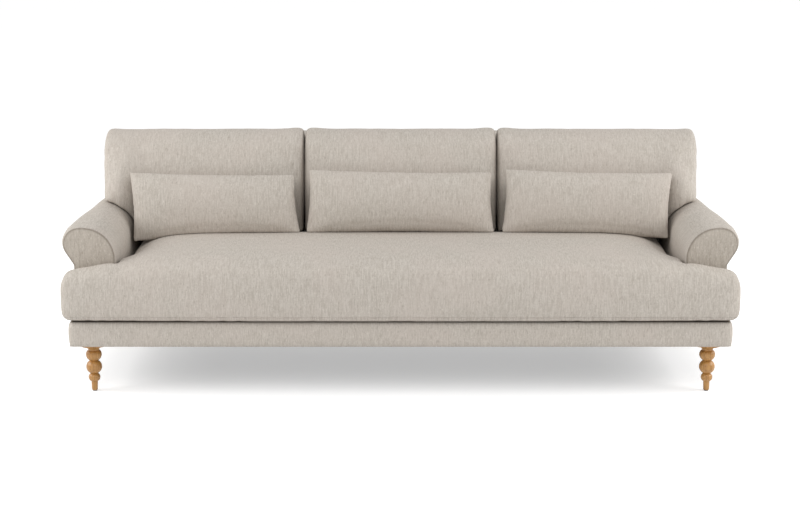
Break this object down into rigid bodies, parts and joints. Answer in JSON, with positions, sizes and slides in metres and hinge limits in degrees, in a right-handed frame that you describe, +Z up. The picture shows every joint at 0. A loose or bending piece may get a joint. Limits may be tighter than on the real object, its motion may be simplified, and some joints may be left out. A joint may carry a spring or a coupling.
{
  "type": "english roll arm sofa",
  "caption": "Wide upholstered sofa with low scrolled arms, a T-shaped bench seat cushion, loose back cushions, lumbar bolsters and turned wooden legs.",
  "frame": {"origin": "on the floor under the middle of the sofa's width and depth", "axes": "+X across the sofa, to the right as seen from the front; -Y to the front and +Y to the rear; +Z up"},
  "size_m": [2.287, 0.9982, 0.8103],
  "materials": {
    "upholstery": "matte",
    "lining_cloth": "matte",
    "cushion_filling": "matte",
    "leg_wood": "satin",
    "frame_wood": "matte",
    "spring_steel": "satin",
    "webbing": "matte",
    "glide_plastic": "matte"
  },
  "bodies": {
    "frame": {"leg_front_left": "leg_wood", "leg_front_right": "leg_wood", "leg_rear_left": "leg_wood", "leg_rear_right": "leg_wood", "floor_glides": "glide_plastic", "leg_bolts": "spring_steel", "leg_bolt_inserts": "spring_steel", "frame_dowels": "frame_wood", "front_rail": "frame_wood", "rear_rail": "frame_wood", "side_rail_left": "frame_wood", "side_rail_right": "frame_wood", "corner_blocks": "frame_wood", "arm_bearer_left": "frame_wood", "arm_bearer_right": "frame_wood", "seat_braces": "frame_wood", "dust_cover": "lining_cloth", "deck_cloth": "lining_cloth", "border_front": "upholstery", "border_rear": "upholstery", "border_left": "upholstery", "border_right": "upholstery", "seat_springs": "spring_steel", "spring_clips": "spring_steel", "outside_back_panel": "upholstery", "inside_back_cover": "upholstery", "back_padding": "cushion_filling", "back_post_left": "frame_wood", "back_post_right": "frame_wood", "back_top_rail": "frame_wood", "back_lower_rail": "frame_wood", "back_webbing": "webbing", "arm_cover_left": "upholstery", "arm_front_panel_left": "upholstery", "arm_outside_panel_left": "upholstery", "arm_scroll_board_left": "frame_wood", "arm_rear_board_left": "frame_wood", "arm_top_rail_left": "frame_wood", "arm_padding_left": "cushion_filling", "arm_cover_right": "upholstery", "arm_front_panel_right": "upholstery", "arm_outside_panel_right": "upholstery", "arm_scroll_board_right": "frame_wood", "arm_rear_board_right": "frame_wood", "arm_top_rail_right": "frame_wood", "arm_padding_right": "cushion_filling"},
    "seat_cushion": {"seat_cushion_cover": "upholstery", "seat_cushion_core": "cushion_filling"},
    "back_cushion_left": {"back_cushion_left_cover": "upholstery", "back_cushion_left_filling": "cushion_filling"},
    "bolster_left": {"bolster_left_cover": "upholstery", "bolster_left_filling": "cushion_filling"},
    "back_cushion_centre": {"back_cushion_centre_cover": "upholstery", "back_cushion_centre_filling": "cushion_filling"},
    "bolster_centre": {"bolster_centre_cover": "upholstery", "bolster_centre_filling": "cushion_filling"},
    "back_cushion_right": {"back_cushion_right_cover": "upholstery", "back_cushion_right_filling": "cushion_filling"},
    "bolster_right": {"bolster_right_cover": "upholstery", "bolster_right_filling": "cushion_filling"}
  },
  "joints": [
    {"name": "seat_cushion_lift_out", "type": "slide", "parent": "frame", "child": "seat_cushion", "axis": [0, -1, 0], "range_m": [0, 0.75]},
    {"name": "back_cushion_left_lift_off", "type": "slide", "parent": "frame", "child": "back_cushion_left", "axis": [0, 0.1994, 0.9799], "range_m": [0, 0.4]},
    {"name": "back_cushion_centre_lift_off", "type": "slide", "parent": "frame", "child": "back_cushion_centre", "axis": [0, 0.1994, 0.9799], "range_m": [0, 0.4]},
    {"name": "back_cushion_right_lift_off", "type": "slide", "parent": "frame", "child": "back_cushion_right", "axis": [0, 0.1994, 0.9799], "range_m": [0, 0.4]},
    {"name": "bolster_left_lift_off", "type": "slide", "parent": "frame", "child": "bolster_left", "axis": [0, -0.7071, 0.7071], "range_m": [0, 0.35]},
    {"name": "bolster_centre_lift_off", "type": "slide", "parent": "frame", "child": "bolster_centre", "axis": [0, -0.7071, 0.7071], "range_m": [0, 0.35]},
    {"name": "bolster_right_lift_off", "type": "slide", "parent": "frame", "child": "bolster_right", "axis": [0, -0.7071, 0.7071], "range_m": [0, 0.35]}
  ]
}
